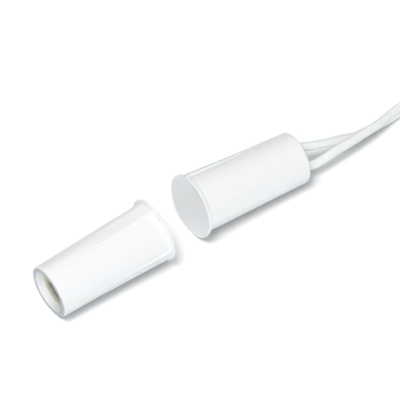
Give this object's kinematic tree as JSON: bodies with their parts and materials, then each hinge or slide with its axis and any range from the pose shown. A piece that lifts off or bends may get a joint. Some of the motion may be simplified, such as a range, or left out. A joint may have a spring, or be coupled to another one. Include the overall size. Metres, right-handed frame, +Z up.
{
  "type": "recessed magnetic contact",
  "caption": "Recessed magnetic contact for a door or window: a flanged white reed switch barrel with two leads, and the matching magnet barrel.",
  "frame": {"origin": "The middle of the box round the two halves, on the surface that they lie on. The leads' coil is left out of that box.", "axes": "+Z up. +X runs along the switch half, from its flange towards its leads. The magnet half lies on the -X side."},
  "size_m": [0.0899, 0.0283, 0.0103],
  "materials": {
    "case_plastic": "moulded white plastic, satin to gloss",
    "potting_resin": "cast resin, olive brown, slightly uneven",
    "clear_glass": "clear green-tinted glass",
    "sleeve_rubber": "soft translucent sleeve",
    "reed_alloy": "bright nickel-iron wire, pressed flat at the blades",
    "solder": "shiny solder",
    "tinned_copper": "tinned copper strands",
    "lead_jacket": "white extruded wire jacket",
    "tie_plastic": "dark flat tie",
    "magnet_alloy": "ground cast magnet"
  },
  "bodies": {
    "switch_half": {"switch_case": "case_plastic", "switch_potting": "potting_resin", "reed_glass": "clear_glass", "capsule_sleeve": "sleeve_rubber", "lead_a_core": "tinned_copper", "lead_b_core": "tinned_copper", "lead_a": "lead_jacket", "lead_b": "lead_jacket", "lead_coil": "lead_jacket", "coil_tie": "tie_plastic", "lead_a_tip": "tinned_copper", "lead_b_tip": "tinned_copper"},
    "front_reed_arm": {"front_reed": "reed_alloy", "front_solder": "solder"},
    "rear_reed_arm": {"rear_reed": "reed_alloy", "rear_solder": "solder"},
    "magnet_half": {"magnet_case": "case_plastic", "magnet": "magnet_alloy", "magnet_potting": "potting_resin"}
  },
  "joints": [
    {"name": "magnet_travel", "type": "slide", "parent": "switch_half", "child": "magnet_half", "axis": [1, 0, 0], "range_m": [-0.02, 0.0058]},
    {"name": "front_reed_flex", "type": "hinge", "parent": "switch_half", "child": "front_reed_arm", "pos_m": [0.00754, -0.00019, 0.00453], "axis": [-0.0401, 0.6018, -0.7976], "range_deg": [0, 0.36], "stiffness_Nm_per_rad": 0.09},
    {"name": "rear_reed_flex", "type": "hinge", "parent": "switch_half", "child": "rear_reed_arm", "pos_m": [0.01633, -0.00019, 0.00409], "axis": [-0.0401, 0.6018, -0.7976], "range_deg": [0, 0.36], "stiffness_Nm_per_rad": 0.09}
  ]
}
